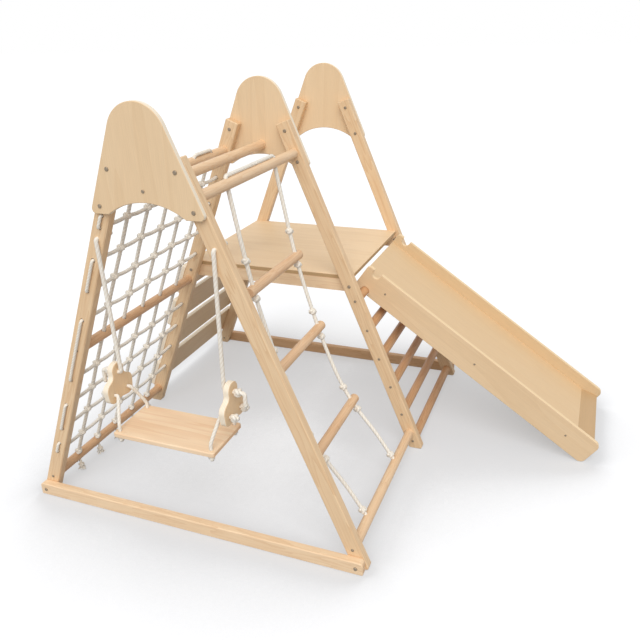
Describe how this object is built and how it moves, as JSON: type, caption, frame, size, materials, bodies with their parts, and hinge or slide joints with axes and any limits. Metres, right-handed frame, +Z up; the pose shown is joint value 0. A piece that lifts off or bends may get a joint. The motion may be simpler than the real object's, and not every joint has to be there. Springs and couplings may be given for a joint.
{
  "type": "children's climbing frame",
  "caption": "Wooden climbing frame of three A-frames with a plank swing, climbing net, rope ladder, monkey bars, deck, rung ladder and a hooked slide.",
  "frame": {"origin": "middle of the underside of the front ground rail", "axes": "+X towards the slide, +Y from the swing end to the deck end, +Z up"},
  "size_m": [1.6916, 1.322, 1.24],
  "materials": {
    "birch_plywood": "satin",
    "pine": "satin",
    "beech_bar": "satin",
    "cotton_rope": "matte",
    "dark_steel": "satin"
  },
  "bodies": {
    "frame": {"bar_screws": "dark_steel", "beam_bolts": "dark_steel", "board_screws": "dark_steel", "climbing_board_1": "birch_plywood", "climbing_board_2": "birch_plywood", "climbing_board_3": "birch_plywood", "climbing_board_4": "birch_plywood", "climbing_net": "cotton_rope", "crown_bolts": "dark_steel", "deck_front_beam": "pine", "deck_panel": "birch_plywood", "deck_rear_beam": "pine", "front_crown": "birch_plywood", "front_ground_rail": "pine", "front_left_leg": "pine", "front_right_leg": "pine", "ladder_rung_1": "beech_bar", "ladder_rung_2": "beech_bar", "ladder_rung_3": "beech_bar", "ladder_rung_4": "beech_bar", "ladder_rung_5": "beech_bar", "left_monkey_bar": "beech_bar", "middle_crown": "birch_plywood", "middle_left_leg": "pine", "middle_monkey_bar": "beech_bar", "middle_right_leg": "pine", "net_bottom_bar": "beech_bar", "net_lacing_front": "cotton_rope", "net_lacing_middle": "cotton_rope", "net_middle_bar": "beech_bar", "net_tassels": "cotton_rope", "rail_bolts": "dark_steel", "rear_crown": "birch_plywood", "rear_ground_rail": "pine", "rear_left_leg": "pine", "rear_right_leg": "pine", "right_monkey_bar": "beech_bar", "rope_ladder_bottom_bar": "beech_bar", "rope_ladder_front_rope": "cotton_rope", "rope_ladder_rear_rope": "cotton_rope", "rope_ladder_rung_1": "beech_bar", "rope_ladder_rung_2": "beech_bar", "rope_ladder_rung_3": "beech_bar", "rung_screws": "dark_steel", "slide_hook_bar": "beech_bar", "swing_anchors": "cotton_rope"},
    "slide": {"slide_bed": "birch_plywood", "slide_far_panel": "birch_plywood", "slide_near_panel": "birch_plywood", "slide_runout": "birch_plywood", "slide_screws": "dark_steel"},
    "swing": {"swing_hangers": "cotton_rope", "swing_left_plate": "birch_plywood", "swing_right_plate": "birch_plywood", "swing_seat": "pine", "swing_seat_cords": "cotton_rope"}
  },
  "joints": [
    {"name": "swing_hinge", "type": "hinge", "parent": "frame", "child": "swing", "pos_m": [0, 0.0065, 0.82], "axis": [1, 0, 0], "range_deg": [-30, 30]},
    {"name": "slide_lift", "type": "hinge", "parent": "frame", "child": "slide", "pos_m": [0.32137, 0.9225, 0.533], "axis": [0, -1, 0], "range_deg": [0, 12]}
  ]
}
